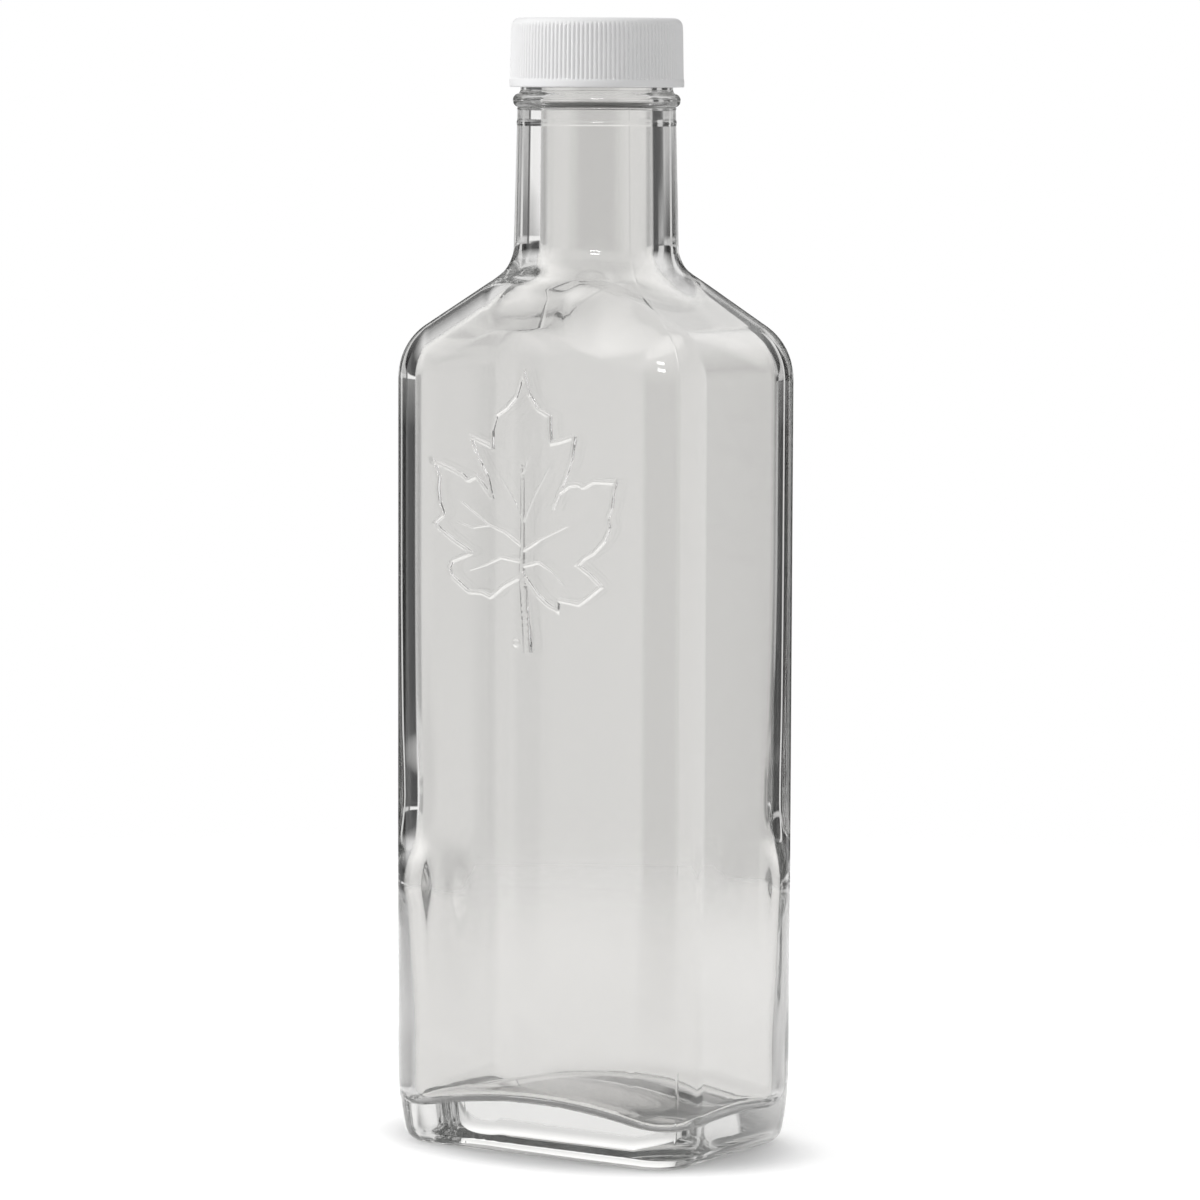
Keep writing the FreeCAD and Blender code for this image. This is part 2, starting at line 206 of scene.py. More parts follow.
def outside(p):
    """The bottle as if it were solid glass, without its relief."""
    z = p[..., 2]
    across = np.hypot(p[..., 0], p[..., 1])
    neck = across - np.interp(z, [NECK_FOOT, NECK_TOP, NECK_TOP + 0.01],
                              [NECK_FOOT_RADIUS, NECK_TOP_RADIUS, FINISH_RADIUS])
    bead = np.hypot(across - (BEAD_REACH - BEAD_RADIUS), z - BEAD_HEIGHT) - BEAD_RADIUS
    form = join(flask(p, 0.0), join(neck, bead, BEAD_BLEND), ROOT_RADIUS)
    fall = np.clip(HEEL_RISE - z, 0, HEEL_RISE)
    form = form + HEEL_CURVE - np.sqrt(HEEL_CURVE ** 2 - fall ** 2)
    form = meet(form, -z, FOOT_RADIUS)
    form = meet(form, z - RIM, RIM_RADIUS)
    return np.maximum(form, dome(across, z, KICK_RISE, KICK_DOME))


def settle(p):
    """How much the wave makes the wall thicker: only near the right and the left upright edge."""
    across, along = p[..., 0] / HALF_WIDTH, p[..., 1] / HALF_DEPTH
    edge = smooth((np.abs(across) + np.abs(along) - WAVE_FROM) / WAVE_SPREAD)
    return flowing(p[..., 2], *WAVE) * np.clip(WAVE_SHARPNESS * across * along, 0, 1) * edge


def inside(p):
    """The space that the glass holds."""
    x, y, z = p[..., 0], p[..., 1], p[..., 2]
    across = np.hypot(x, y)
    side = np.clip(EDGE_SHARPNESS * x * y / (HALF_WIDTH * HALF_DEPTH), -1, 1)
    edge_glass = np.where(side < 0, NEAR_EDGE_GLASS, np.where(x > 0, RIGHT_EDGE_GLASS, LEFT_EDGE_GLASS))
    near_or_far = 0.5 - 0.5 * np.sin(np.pi / 2 * side)
    fuller = edge_glass * np.abs(side) + SHOULDER_GLASS * flowing(z, *SHOULDER_SHARE) * near_or_far
    neck = across - np.interp(z, [NECK_FOOT - WALL, RIM + 1], [BORE_FOOT_RADIUS, BORE_RADIUS])
    form = join(flask(p, WALL, fuller), neck, ROOT_RADIUS + WALL) + settle(p)
    return meet(form, dome(across, z, FLOOR_CROWN, FLOOR_DOME), FLOOR_CORNER)


# ---- relief, as a height over the plain outside ----

def beside(x, z, start, end):
    """Distance to a straight line and the share of it that is passed."""
    along = (end[0] - start[0], end[1] - start[1])
    share = np.clip(((x - start[0]) * along[0] + (z - start[1]) * along[1])
                    / (along[0] ** 2 + along[1] ** 2), 0, 1)
    return np.hypot(x - start[0] - share * along[0], z - start[1] - share * along[1]), share


def ridge(distance, half_width):
    """A rounded ridge: 1 along its middle, and 0 from its half width on."""
    return np.clip(1 - (distance / half_width) ** 2, 0, 1) ** 1.5


def bank(distance, half_width, flank):
    """A ridge with a flat crown and a smooth steep flank on each side."""
    return smooth((half_width - distance) / flank)


def leaf_lines():
    """Every raised line of the leaf: its points, its width at each end and its height as a share."""
    yield LEAF_OUTLINE + LEAF_OUTLINE[:1], LINE_WIDTH, LINE_WIDTH, 1.0
    for points, first, last in LEAF_VEINS:
        yield points, first, last, VEIN_HEIGHT
    yield *STEM, 1.0


def leaf_relief(x, z):
    """The leaf's height over the broad face, as a share of its relief."""
    x, z = x - LEAF_MIDDLE, z - LEAF_BASE
    height = np.zeros_like(x)
    for points, first, last, share_of_height in leaf_lines():
        pieces = len(points) - 1
        for k in range(pieces):
            distance, share = beside(x, z, points[k], points[k + 1])
            width = first + (last - first) * (k + share) / pieces
            height = np.maximum(height, share_of_height * bank(distance, width / 2, FLANK))
    drop = bank(np.hypot(x - STEM_DROP[0], z - STEM_DROP[1]), DROP_RADIUS, DROP_FLANK)
    return np.maximum(height, DROP_HEIGHT * drop)


def leaf_points():
    """Places for the points of the leaf's mesh: rows along both sides of each line, and the drop."""
    places = []
    for points, first, last, _ in leaf_lines():
        half = max(first, last) / 2
        offsets = [half - FLANK * share for share in (0.85, 0.6, 0.35, 0.1)] + [half + 0.06, half + 0.4]
        rows = [0.0] + [side * offset for offset in offsets for side in (-1, 1)]
        for start, end in zip(points, points[1:]):
            along = np.array(end) - np.array(start)
            length = np.hypot(*along)
            along = along / length
            across = np.array([-along[1], along[0]])
            for passed in np.linspace(0, length, max(2, round(length / 0.3)), endpoint=False):
                places += [np.array(start) + passed * along + row * across for row in rows]
    for radius in (0.15, 0.35, 0.55, 0.75, 0.95, 1.15):
        for turn in np.radians(np.arange(0, 360, 20)):
            places.append(np.array(STEM_DROP) + radius * np.array([math.cos(turn), math.sin(turn)]))
    return np.array(places) + (LEAF_MIDDLE, LEAF_BASE)


def relief(p):
    """Height of what stands out from the plain outside: leaf, parting line and neck line."""
    x, y, z = p[..., 0], p[..., 1], p[..., 2]
    height = np.zeros_like(x)
    near = (y < -HALF_DEPTH + 1) & (np.abs(x) < PATCH_REACH) & (z > PATCH_LOW) & (z < PATCH_HIGH)
    height[near] = LEAF_RELIEF * leaf_relief(x[near], z[near])
    off_seam = np.abs(x * math.cos(SEAM_TURN) + y * math.sin(SEAM_TURN))
    seam = ridge(off_seam, SEAM_SPREAD) * np.clip((z - SEAM_LOW) / SEAM_LOW, 0, 1) * (z < NECK_TOP)
    neck_line = ridge(z - NECK_LINE, NECK_LINE_SPREAD)
    return np.maximum(height + SEAM_RELIEF * seam, NECK_LINE_RELIEF * neck_line)


def with_relief(p):
    """The outside with its relief."""
    return outside(p) - relief(p)


# ---- meshes ----

def cast(form, starts, directions, reach=80.0, halvings=34):
    """Where rays from inside a form leave it."""
    near, far = np.zeros(directions.shape[:-1]), np.full(directions.shape[:-1], reach)
    for _ in range(halvings):
        middle = (near + far) / 2
        within = form(starts + middle[..., None] * directions) < 0
        near, far = np.where(within, middle, near), np.where(within, far, middle)
    return starts + far[..., None] * directions


def gradient(form, p, step=0.02):
    """Unit vectors out of a form."""
    out = np.stack([form(p + step * axis) - form(p - step * axis) for axis in np.eye(3)], axis=-1)
    return out / np.linalg.norm(out, axis=-1, keepdims=True)


def grid_normals(points):
    """Outward normals of a grid of rings from its own neighbours."""
    up = np.gradient(points, axis=0)
    sideways = np.roll(points, -1, axis=1) - np.roll(points, 1, axis=1)
    out = np.cross(sideways, up)
    return out / np.linalg.norm(out, axis=-1, keepdims=True)


def steps(start, end, spacing):
    """Even places from the start to the end, without the end itself."""
    count = max(1, round(abs(end - start) / spacing))
    return [start + (end - start) * k / count for k in range(count)]


def level(*stretches):
    """Stations with level rays: a station is a height on the axis and how far its rays rise, in degrees."""
    return [(z, 0) for stretch in stretches for z in steps(*stretch)]


def fanned(height, *stretches):
    """Stations at one height whose rays rise by stretches of degrees."""
    return [(height, rise) for stretch in stretches for rise in steps(*stretch)]


def bulged(middle, radius, start, end, spacing):
    """Stations with level rays up a round edge, for a stretch of degrees on it."""
    return [(middle + radius * math.sin(math.radians(turn)), 0) for turn in steps(start, end, spacing)]


def rings(form, stations, turns):
    """One ring of points on a form for each station."""
    heights, rises = np.array(stations).T
    rises = np.radians(rises)[:, None]
    starts = np.zeros((len(stations), 1, 3))
    starts[:, 0, 2] = heights
    directions = np.stack([np.cos(rises) * np.cos(turns), np.cos(rises) * np.sin(turns),
                           np.sin(rises) * np.ones_like(turns)], axis=-1)
    return cast(form, starts, directions)


def columns_round(half_width, half_depth, radius, extra=()):
    """Directions of the columns: close together round the four edges, wider on the faces."""
    turns = np.radians(np.linspace(0, 90, CORNER_COLUMNS + 1))
    x, y = half_width - radius + radius * np.cos(turns), half_depth - radius + radius * np.sin(turns)
    quarter = np.arctan2(y, x)
    marks = np.concatenate([quarter, np.pi - quarter, quarter - np.pi, -quarter, np.atleast_1d(extra)])
    marks = np.sort((marks + np.pi) % (2 * np.pi) - np.pi)
    kept = [marks[0]]
    for mark in marks[1:]:
        if mark - kept[-1] > CLOSEST_COLUMN:
            kept.append(mark)
    kept.append(kept[0] + 2 * np.pi)
    filled = []
    for low, high in zip(kept, kept[1:]):
        count = max(1, math.ceil((high - low) / WIDEST_COLUMN))
        filled += [low + (high - low) * k / count for k in range(count)]
    return np.array(filled)


def spread(places, low, high, gap):
    """The places between two corners, without those that are closer than a gap to one before."""
    kept = {}
    for place in places:
        if np.any(place <= low) or np.any(place >= high):
            continue
        cell = tuple(np.floor(place / gap).astype(int))
        others = [kept.get((cell[0] + i, cell[1] + j)) for i in (-1, 0, 1) for j in (-1, 0, 1)]
        if all(other is None or np.hypot(*(place - other)) >= gap for other in others):
            kept[cell] = place
    return np.array(list(kept.values()))


class Shell:
    """Points and faces of a mesh, with a normal for each point."""

    def __init__(self):
        self.points, self.normals, self.faces = [], [], []
        self.count = 0

    def add_points(self, points, normals):
        """Points without faces."""
        self.points.append(points)
        self.normals.append(normals)
        self.count += len(points)

    def add_rings(self, points, normals, flip=False, hole=None):
        """Quads between rings, apart from a hole; gives the first index of the first and of the last ring."""
        rows, columns = points.shape[:2]
        first = self.count
        self.add_points(points.reshape(-1, 3), normals.reshape(-1, 3))
        low = (first + np.arange(rows - 1)[:, None] * columns + np.arange(columns)).ravel()
        turn = np.where(np.arange(columns) == columns - 1, 1 - columns, 1)
        right = low + np.tile(turn, rows - 1)
        quads = np.stack([low, right, right + columns, low + columns], axis=-1)
        if hole is not None:
            quads = quads[~hole[:-1].ravel()]
        self.faces += (quads[:, ::-1] if flip else quads).tolist()
        return first, self.count - columns

    def fill(self, border, form, places, gap):
        """Faces inside a border of points that the mesh has; gives the new points, which are on the form."""
        fixed = np.concatenate(self.points)[border][:, [0, 2]]
        inner = spread(places, fixed.min(axis=0) + gap, fixed.max(axis=0) - gap, gap)
        flat = [Vector(place) for place in np.concatenate([fixed, inner])]
        edges = [(k, (k + 1) % len(border)) for k in range(len(border))]
        faces = delaunay_2d_cdt(flat, edges, [], 1, 1e-6)[2]
        names = np.concatenate([border, self.count + np.arange(len(inner))])
        self.faces += [[int(names[k]) for k in face] for face in faces]
        starts = np.stack([inner[:, 0], 0 * inner[:, 0], inner[:, 1]], axis=-1)
        return cast(form, starts, np.broadcast_to([0.0, -1.0, 0.0], starts.shape))

    def close(self, first, columns, tip, normal, flip=False):
        """A fan from a ring to one point on the axis."""
        self.add_points(np.array([tip]), np.array([normal]))
        top = self.count - 1
        for k in range(columns):
            face = [first + k, first + (k + 1) % columns, top]
            self.faces.append(face[::-1] if flip else face)

    def zip(self, one, one_turns, two, two_turns):
        """Triangles between two rings that have different numbers of points."""
        i = j = 0
        many, few = len(one_turns), len(two_turns)
        while i < many or j < few:
            next_one = one_turns[(i + 1) % many] + 2 * math.pi * ((i + 1) // many) if i < many else math.inf
            next_two = two_turns[(j + 1) % few] + 2 * math.pi * ((j + 1) // few) if j < few else math.inf
            if next_one <= next_two:
                self.faces.append([one + i % many, one + (i + 1) % many, two + j % few])
                i += 1
            else:
                self.faces.append([one + i % many, two + (j + 1) % few, two + j % few])
                j += 1

    def build(self, name, material):
        """The piece itself, in metres."""
        mesh = bpy.data.meshes.new(name)
        mesh.from_pydata((np.concatenate(self.points) * MM).tolist(), [], self.faces)
        mesh.polygons.foreach_set("use_smooth", [True] * len(mesh.polygons))
        mesh.normals_split_custom_set_from_vertices(np.concatenate(self.normals).tolist())
        return place_mesh(name, mesh, material)


def place_mesh(name, mesh, material):
    """An object of a mesh with one material."""
    mesh.materials.append(material)
    piece = bpy.data.objects.new(name, mesh)
    bpy.context.scene.collection.objects.link(piece)
    return piece


# ---- nodes of materials ----

def new_material(name):
    """A material without nodes, and its tree."""
    material = bpy.data.materials.new(name)
    material.use_nodes = True
    material.node_tree.nodes.clear()
    return material, material.node_tree


def add(tree, kind, **values):
    """A node, with values for its sockets given by name and underscores for spaces."""
    node = tree.nodes.new(kind)
    for key, value in values.items():
        node.inputs[key.replace("_", " ")].default_value = value
    return node


def link(tree, *pairs):
    """Links, each from what leaves a node to what enters one."""
    for source, target in pairs:
        tree.links.new(source, target)


def feed(tree, socket, value):
    """Give a socket a number or what leaves another node."""
    if isinstance(value, (int, float)):
        socket.default_value = value
    else:
        tree.links.new(value, socket)


def math_node(tree, operation, *values):
    """The result of a sum with numbers."""
    node = tree.nodes.new("ShaderNodeMath")
    node.operation = operation
    for socket, value in zip(node.inputs, values):
        feed(tree, socket, value)
    return node.outputs[0]


def product(tree, first, *others):
    """Everything multiplied together."""
    for other in others:
        first = math_node(tree, "MULTIPLY", first, other)
    return first


def vector_node(tree, operation, vector, by=None):
    """The result of a sum with a vector and, if there is one, a second vector."""
    node = tree.nodes.new("ShaderNodeVectorMath")
    node.operation = operation
    tree.links.new(vector, node.inputs[0])
    if by is not None:
        node.inputs[1].default_value = by
    return node.outputs["Vector" if operation == "MULTIPLY" else "Value"]


def blend(tree, factor, first, second):
    """From the first value at 0 to the second at 1."""
    node = add(tree, "ShaderNodeMix")
    for name, value in (("Factor", factor), ("A", first), ("B", second)):
        feed(tree, node.inputs[name], value)
    return node.outputs["Result"]


def climb(tree, value, low, high, to_low=0.0, to_high=1.0, kind="LINEAR"):
    """A value brought from one range to another and held at its ends."""
    node = add(tree, "ShaderNodeMapRange", From_Min=low, From_Max=high, To_Min=to_low, To_Max=to_high)
    node.interpolation_type = kind
    tree.links.new(value, node.inputs["Value"])
    return node.outputs["Result"]


def mix_shaders(tree, factor, first, second):
    """The first shader at 0 and the second at 1."""
    node = add(tree, "ShaderNodeMixShader")
    link(tree, *zip((factor, first, second), node.inputs))
    return node.outputs[0]


def ramp_node(tree, value, stops):
    """Grey levels between stops, which are places from 0 to 1."""
    node = tree.nodes.new("ShaderNodeValToRGB")
    elements = node.color_ramp.elements
    for _ in stops[2:]:
        elements.new(0.5)
    for element, (place, grey) in zip(elements, stops):
        element.position = place
        element.color = (grey, grey, grey, 1)
    tree.links.new(value, node.inputs["Fac"])
    return node.outputs["Color"]


# ---- materials ----

def glass_material():
    """Clear glass, a little dark where it is thick, that lets most light through to its shadow."""
    material, tree = new_material("clear_glass")
    output = add(tree, "ShaderNodeOutputMaterial")
    glass = add(tree, "ShaderNodeBsdfPrincipled", Base_Color=(0.80, 0.795, 0.785, 1), Roughness=0.0, IOR=1.5,
                Transmission_Weight=1.0)
    coordinates = add(tree, "ShaderNodeTexCoord")
    ripple = add(tree, "ShaderNodeTexNoise", Scale=90.0, Detail=1.0)
    bump = add(tree, "ShaderNodeBump", Strength=0.25, Distance=0.00003)
    let_through = add(tree, "ShaderNodeBsdfTransparent", Color=(0.9, 0.9, 0.9, 1))
    path = add(tree, "ShaderNodeLightPath")
    surface = mix_shaders(tree, path.outputs["Is Shadow Ray"], glass.outputs[0], let_through.outputs[0])
    absorption = add(tree, "ShaderNodeVolumeAbsorption", Color=(0.72, 0.725, 0.72, 1), Density=12.0)
    link(tree, (coordinates.outputs["Object"], ripple.inputs["Vector"]),
         (ripple.outputs["Fac"], bump.inputs["Height"]),
         (bump.outputs["Normal"], glass.inputs["Normal"]),
         (surface, output.inputs["Surface"]),
         (absorption.outputs[0], output.inputs["Volume"]))
    return material


def cap_material():
    """Satin white plastic, slightly cloudy and with a fine grain."""
    material, tree = new_material("white_cap")
    output = add(tree, "ShaderNodeOutputMaterial")
    plastic = add(tree, "ShaderNodeBsdfPrincipled", IOR=1.49)
    coordinates = add(tree, "ShaderNodeTexCoord")
    cloud = add(tree, "ShaderNodeTexNoise", Scale=160.0, Detail=3.0)
    grain = add(tree, "ShaderNodeTexNoise", Scale=2500.0, Detail=2.0)
    tone = add(tree, "ShaderNodeValToRGB")
    tone.color_ramp.elements[0].color = (0.80, 0.80, 0.805, 1)
    tone.color_ramp.elements[1].color = (0.86, 0.86, 0.862, 1)
    bump = add(tree, "ShaderNodeBump", Strength=0.15, Distance=0.00004)
    link(tree, (coordinates.outputs["Object"], cloud.inputs["Vector"]),
         (coordinates.outputs["Object"], grain.inputs["Vector"]),
         (cloud.outputs["Fac"], tone.inputs["Fac"]),
         (tone.outputs["Color"], plastic.inputs["Base Color"]),
         (climb(tree, cloud.outputs["Fac"], 0.0, 1.0, 0.38, 0.5), plastic.inputs["Roughness"]),
         (grain.outputs["Fac"], bump.inputs["Height"]),
         (bump.outputs["Normal"], plastic.inputs["Normal"]),
         (plastic.outputs[0], output.inputs["Surface"]))
    return material


# ---- the bottle ----

def neck_start(form):
    """A height on the neck just over where the highest rays of the shoulders' fan leave a form."""
    turns = np.radians(np.arange(0, 360, 10))
    return rings(form, [(SHOULDER_FAN, FAN_RISE)], turns)[..., 2].max() + 0.3


def outer_columns():
    """Directions of the outer columns, with more of them at the parting line and above the leaf's mesh."""
    border = np.arctan2(-HALF_DEPTH, np.linspace(-PATCH_REACH, PATCH_REACH, 41))
    by_seam = np.radians([-0.5, -0.3, -0.15, 0, 0.15, 0.3, 0.5])
    seams = [SEAM_TURN + quarter + by_seam for quarter in (-np.pi / 2, np.pi / 2)]
    return columns_round(HALF_WIDTH, HALF_DEPTH, EDGE_RADIUS, np.concatenate([border, *seams]))


def outer_stations():
    """Stations up the outside, and which of them are at the foot and at the top of the leaf's mesh."""
    line_low, line_high, bead_top = NECK_LINE - 0.6, NECK_LINE + 0.6, BEAD_HEIGHT + BEAD_RADIUS
    stations = fanned(FOOT_FAN, (-86, -36, 5), (-36, -4, 0.8)) + [(FOOT_FAN, -4)]
    stations += level((FOOT_FAN, PATCH_LOW, 4.2))
    patch_first = len(stations)
    stations += level((PATCH_LOW, PATCH_HIGH, 1.0))
    patch_last = len(stations)
    stations += fanned(SHOULDER_FAN, (0, FAN_RISE, 0.7))
    stations += level((neck_start(outside), line_low, 1.6), (line_low, line_high, 0.08),
                      (line_high, NECK_TOP - 0.8, 0.4), (NECK_TOP - 0.8, NECK_TOP, 0.12))
    stations += bulged(BEAD_HEIGHT, BEAD_RADIUS, -85, 85, 8)
    stations += level((bead_top, bead_top + 0.8, 0.1), (bead_top + 0.8, RIM - 1, 3))
    stations += bulged(RIM - RIM_RADIUS, RIM_RADIUS, 0, 88, 15)
    return stations, patch_first, patch_last


def add_leaf(shell, border):
    """The part of the broad face that carries the leaf, inside a border of points."""
    across = np.arange(-PATCH_REACH + 0.8, PATCH_REACH, PATCH_GRID)
    up = np.arange(PATCH_LOW + 0.8, PATCH_HIGH, PATCH_GRID)
    plain = np.stack(np.meshgrid(across, up), axis=-1).reshape(-1, 2)
    points = shell.fill(border, outside, np.concatenate([leaf_points(), plain]), PATCH_GAP)
    points[:, 1] -= relief(points)
    shell.add_points(points, gradient(with_relief, points))


def add_outside(shell):
    """The outside with its relief; gives its columns and the first index of its top ring."""
    turns = outer_columns()
    stations, patch_first, patch_last = outer_stations()
    skin = rings(outside, stations, turns)
    skin = skin + gradient(outside, skin) * relief(skin)[..., None]
    left, right = (np.argmin(np.abs(turns - math.atan2(-HALF_DEPTH, x))) for x in (-PATCH_REACH, PATCH_REACH))
    hole = np.zeros(skin.shape[:2], dtype=bool)
    hole[patch_first:patch_last, left:right] = True
    first, last = shell.add_rings(skin, gradient(with_relief, skin), hole=hole)
    block = (first + np.arange(hole.size).reshape(hole.shape))[patch_first:patch_last + 1, left:right + 1]
    add_leaf(shell, np.concatenate([block[0], block[1:, -1], block[-1, -2::-1], block[-2:0:-1, 0]]))
    shell.close(first, len(turns), (0, 0, KICK_RISE), (0, 0, -1), flip=True)
    return turns, last


def add_inside(shell):
    """The inside with its floor; gives its columns and the first index of its top ring."""
    turns = columns_round(HALF_WIDTH - WALL, HALF_DEPTH - WALL, EDGE_RADIUS - WALL)
    mouth, wave_end, below_fan = RIM - 0.05, 110.0, SHOULDER_FAN - 5
    stations = fanned(BASIN_FAN, (-87, -48, 3), (-48, -2, 1.0)) + [(BASIN_FAN, -2)]
    stations += level((BASIN_FAN, wave_end, 1.0), (wave_end, below_fan, 4),
                      (below_fan, SHOULDER_FAN, 1))
    stations += fanned(SHOULDER_FAN, (0, FAN_RISE, 0.8))
    stations += level((neck_start(inside), mouth, 1.5)) + [(mouth, 0)]
    bore = rings(inside, stations, turns)
    first, last = shell.add_rings(bore, -gradient(inside, bore), flip=True)
    shell.close(first, len(turns), (0, 0, FLOOR_CROWN), (0, 0, 1))
    return turns, last


def build_bottle():
    """One closed skin of glass: up the outside, over the rim, and down the inside to the floor."""
    shell = Shell()
    turns, last = add_outside(shell)
    inner_turns, inner_last = add_inside(shell)
    shell.zip(last, turns, inner_last, inner_turns)
    return shell.build("flask_glass", glass_material())


bottle = build_bottle()
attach(bottle, "root")
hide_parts("glass_bottle")

# ---- the cap ----

RIBS, COLUMNS_PER_RIB, RIB_DEPTH = 120, 8, 0.26
CAP_EDGE, CAP_BAND, CAP_TAPER, CAP_STEP = 1.5, 1.25, 0.2, 0.1
LINING_RADIUS, LID = 13.5, RIM + 0.001


def cap_profile(radius, base, top):
    """Height, radius and share of the ribs' depth, from the foot of the skirt to the top."""
    ribbed, crown, ribs_low = radius - CAP_STEP, radius - CAP_STEP - CAP_TAPER - CAP_EDGE, base + CAP_BAND
    rows = [(base, radius - 0.25, 0), (base + 0.06, radius - 0.08, 0), (base + 0.2, radius, 0)]
    rows += [(z, radius, 0) for z in steps(base + 0.4, ribs_low - 0.1, 0.25)]
    rows += [(ribs_low, radius - 0.03, 0), (ribs_low + 0.15, radius - 0.08, 0.6), (ribs_low + 0.3, ribbed, 1)]
    rows += [(z, ribbed - CAP_TAPER * (z - ribs_low) / (top - base), 1)
             for z in steps(ribs_low + 1, top - CAP_EDGE, 1)]
    for turn in steps(0, 90, 9):
        up, out = math.sin(math.radians(turn)), math.cos(math.radians(turn))
        rows.append((top - CAP_EDGE + CAP_EDGE * up, crown + CAP_EDGE * out, max(0, 1 - turn / 38)))
    rows += [(top, crown - inset, 0) for inset in (0.02, 3, 7, 11)]
    return np.array(rows)


def turned(heights, radii, turns):
    """Rings of points, with one height for each ring and a radius for each ring or each point."""
    return np.stack([radii * np.cos(turns), radii * np.sin(turns), np.repeat(heights, len(turns), 1)], -1)


def build_cap():
    """A cup with fine ribs between a smooth band and a smooth rounded top."""
    base, top = CAP_LOW[2], CAP_HIGH[2]
    turns = 2 * np.pi * np.arange(RIBS * COLUMNS_PER_RIB) / (RIBS * COLUMNS_PER_RIB)
    notch = np.abs(np.sin(turns * RIBS / 2)) ** 0.8
    rows = cap_profile(CAP_HIGH[0], base, top)
    points = turned(rows[:, :1], rows[:, 1:2] - RIB_DEPTH * rows[:, 2:3] * (1 - notch), turns)
    shell = Shell()
    first, last = shell.add_rings(points, grid_normals(points))
    shell.close(last, len(turns), (0, 0, top), (0, 0, 1))
    lining = np.array([(base, LINING_RADIUS + 0.1), (base + 0.1, LINING_RADIUS), (RIM - 0.4, LINING_RADIUS),
                       (RIM, LINING_RADIUS - 0.4), (LID, 6)])
    inner = turned(lining[:, :1], lining[:, 1:2], turns)
    inner_first, inner_last = shell.add_rings(inner, -grid_normals(inner), flip=True)
    shell.close(inner_last, len(turns), (0, 0, LID), (0, 0, -1), flip=True)
    for k in range(len(turns)):
        after = (k + 1) % len(turns)
        shell.faces.append([first + k, inner_first + k, inner_first + after, first + after])
    return shell.build("cap_shell", cap_material())


cap = build_cap()
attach(cap, "root")
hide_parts("screw_cap")

# ---- the studio ----

VIEW_TURN = 32.57
# What shines back from round the studio, in degrees to the left or right of the camera's side: dark behind
# the camera, a bright tent at each side, and black cards beside a narrow white backdrop.  A strip just
# under the horizon has cards of its own.
CARDS_ROUND = [(-180, 1.0), (-175.5, 1.0), (-174, 0.03), (-118, 0.03), (-112, 1.2), (-44, 1.2), (-32, 0.06),
               (32, 0.06), (44, 1.2), (112, 1.2), (118, 0.03), (130, 0.03), (133, 0.75), (147, 0.7),
               (150, 0.05), (174, 0.05), (175.5, 1.0), (180, 1.0)]
STRIP_ROUND = [(-180, 0.8), (-156, 0.7), (-153, 0.1), (-149, 0.1), (-146, 1.1), (-44, 1.2), (-32, 0.06),
               (32, 0.06), (44, 1.2), (112, 1.2), (118, 0.05), (146, 0.05), (152, 0.7), (180, 0.8)]
# how much less light bent rays meet near the horizon, beside the backdrop
ASIDE_ROUND = [(-180, 0), (-157, 0), (-151, 0.5), (-118, 0.5), (-112, 0), (112, 0), (118, 0.5), (151, 0.5),
               (157, 0), (180, 0)]
# a lamp over the camera with a dark bar across it: its sides, and its light by degrees over the horizon
LAMP_ROUND = [(-180, 0), (-9, 0), (-7, 1.25), (8, 1.25), (10, 0), (180, 0)]
LAMP_RISE = [(22, 0.0), (23, 1.0), (27, 1.0), (28, 0.0), (34, 0.0), (35, 1.0), (39, 1.0), (40, 0.0)]
# the highest level that these lists can hold, how much brighter the lamp is, and the light from below and
# from overhead
ROUND_PEAK, LAMP_LEVEL = 1.25, 12.0
LEVEL_BELOW, LEVEL_OVERHEAD = 0.8, 0.92
# between which degrees over the horizon one kind of light turns into the next
CARDS_START, STRIP_START, STRIP_END, OVERHEAD_START = (-13, -10), (-3.4, -2.2), (-0.2, 0.5), (12, 32)
ASIDE_START, ASIDE_END, LIFT_START = (-9, -8), (0, 1), (2, 16)
# the plain white: as it is seen, as it lights what is matt, and what is added high up for bent rays
SEEN_LEVEL, LIGHTING_LEVEL, LIFTED_LEVEL = 1.0, 0.6, 0.55

GROUND_REACH, GROUND_FADES, GROUND_DROP = 0.42, 0.2, 0.00005
# the floor's glow and whiteness far from the foot and under it, where both are lower as a painted shadow,
# and how far this change goes, in half widths and half depths of the glass
GROUND_GLOW, PAINTED_SHADOW_GLOW, GROUND_WHITE, PAINTED_SHADOW_WHITE = 0.36, 0.1, 0.9, 0.55
PAINTED_SHADOW_FROM, PAINTED_SHADOW_TO = 0.9, 1.5
# painted light added under the foot for bent rays, and the painted shadow that rays trapped in the glass find
# there
PAINTED_LIGHT_UNDER_GLASS, TRAPPED_PAINTED_SHADOW = 0.75, 0.25
# for trapped rays: where the floor's grey gets darker, from and to which level, and where the cards begin
TRAPPED_DIMS, TRAPPED_LEVELS, TRAPPED_CARDS = (0.05, 0.11), (0.85, 0.6), (0.08, 0.24)


def ray_kinds(tree):
    """Whether a ray shows the background, is bent by glass, was mirrored, and was so inside the glass."""
    path = add(tree, "ShaderNodeLightPath").outputs
    seen = math_node(tree, "MAXIMUM", path["Is Camera Ray"], path["Is Transmission Ray"])
    seen = math_node(tree, "MAXIMUM", seen, path["Is Glossy Ray"])
    mirrored = math_node(tree, "GREATER_THAN", path["Glossy Depth"], 0.5)
    entered = math_node(tree, "GREATER_THAN", path["Transmission Depth"], 0.5)
    return seen, path["Is Transmission Ray"], mirrored, product(tree, mirrored, entered)


def share_round(tree, vector):
    """Where a vector points round the object: 0.5 is the camera's side, less than that is to its left."""
    turn = math.radians(VIEW_TURN)
    right = vector_node(tree, "DOT_PRODUCT", vector, (math.cos(turn), math.sin(turn), 0))
    near = vector_node(tree, "DOT_PRODUCT", vector, (math.sin(turn), -math.cos(turn), 0))
    return math_node(tree, "MULTIPLY_ADD", math_node(tree, "ARCTAN2", right, near), 0.5 / math.pi, 0.5)


